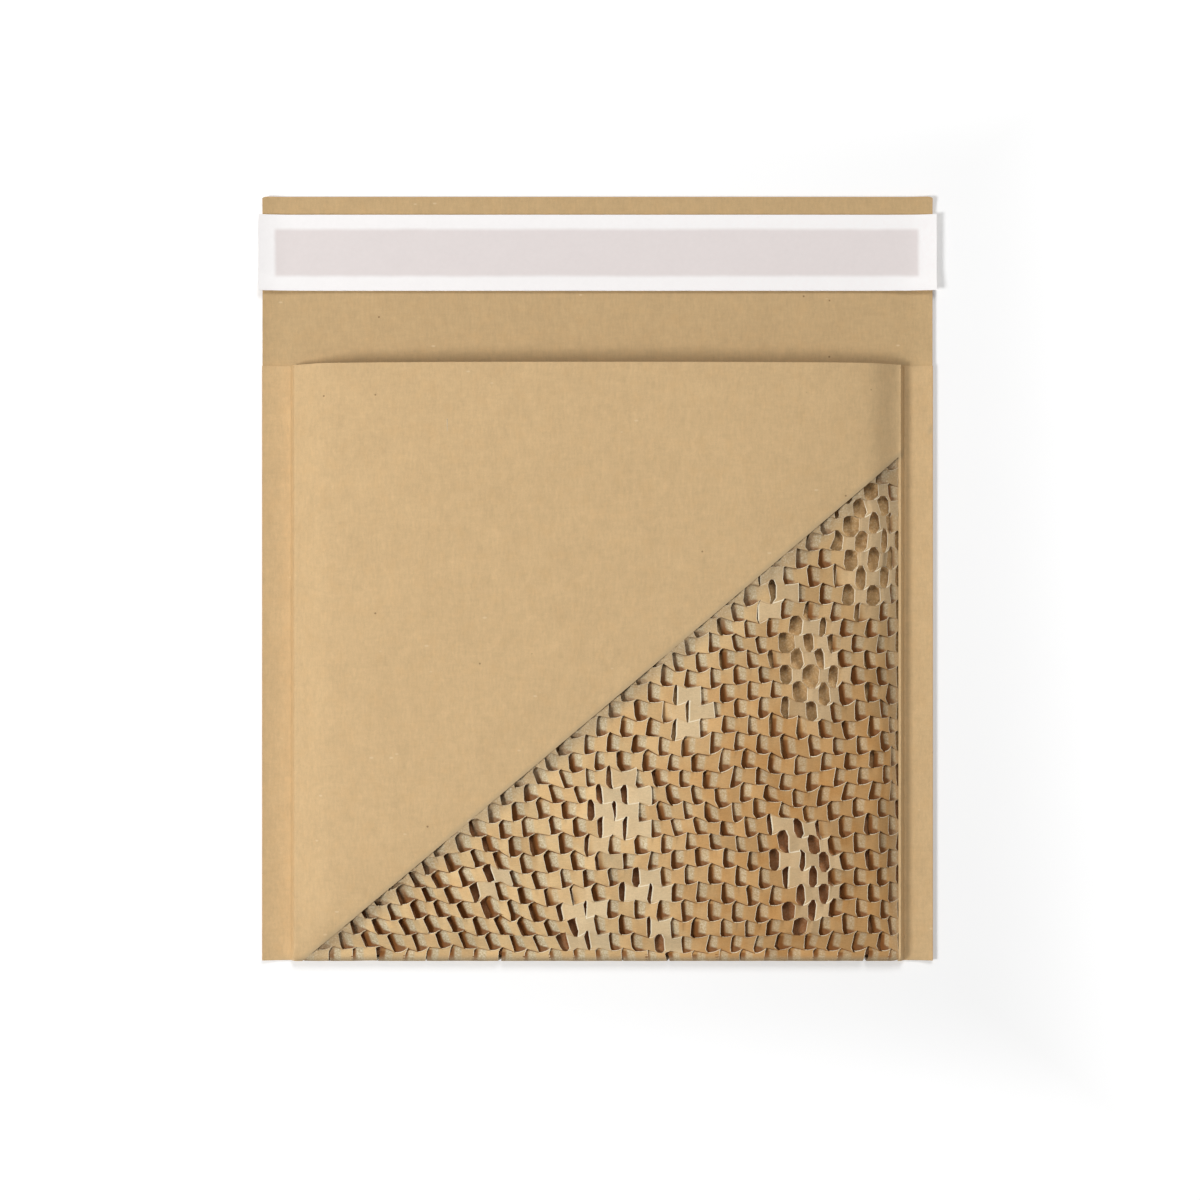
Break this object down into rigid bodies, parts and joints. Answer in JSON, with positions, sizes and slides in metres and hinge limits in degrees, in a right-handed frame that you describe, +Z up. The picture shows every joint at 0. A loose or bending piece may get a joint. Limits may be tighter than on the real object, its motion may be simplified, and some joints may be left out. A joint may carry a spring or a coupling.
{
  "type": "padded envelope",
  "caption": "Kraft paper mailer with a honeycomb paper lining, an open flap with a peel-off adhesive strip, and a slanting window cut in the front that shows the lining.",
  "frame": {"origin": "on the table under the middle of the envelope laid flat on its back with the flap open", "axes": "+X to the right across the mouth, +Y from the bottom fold towards the flap's free edge, +Z up out of the front wall"},
  "size_m": [0.202, 0.228, 0.0128],
  "materials": {
    "outer_kraft": "matt brown kraft paper with fine fibres and specks",
    "honeycomb_kraft": "matt slit kraft paper, pulled open",
    "liner_paper": "matt thin recycled paper, grey-beige",
    "adhesive": "soft translucent hot-melt adhesive",
    "release_paper": "smooth white silicone-coated paper"
  },
  "bodies": {
    "root": {"outer_sheet": "outer_kraft", "honeycomb_lining": "honeycomb_kraft", "inner_liner": "liner_paper", "adhesive_strip": "adhesive", "release_liner": "release_paper"}
  },
  "joints": []
}
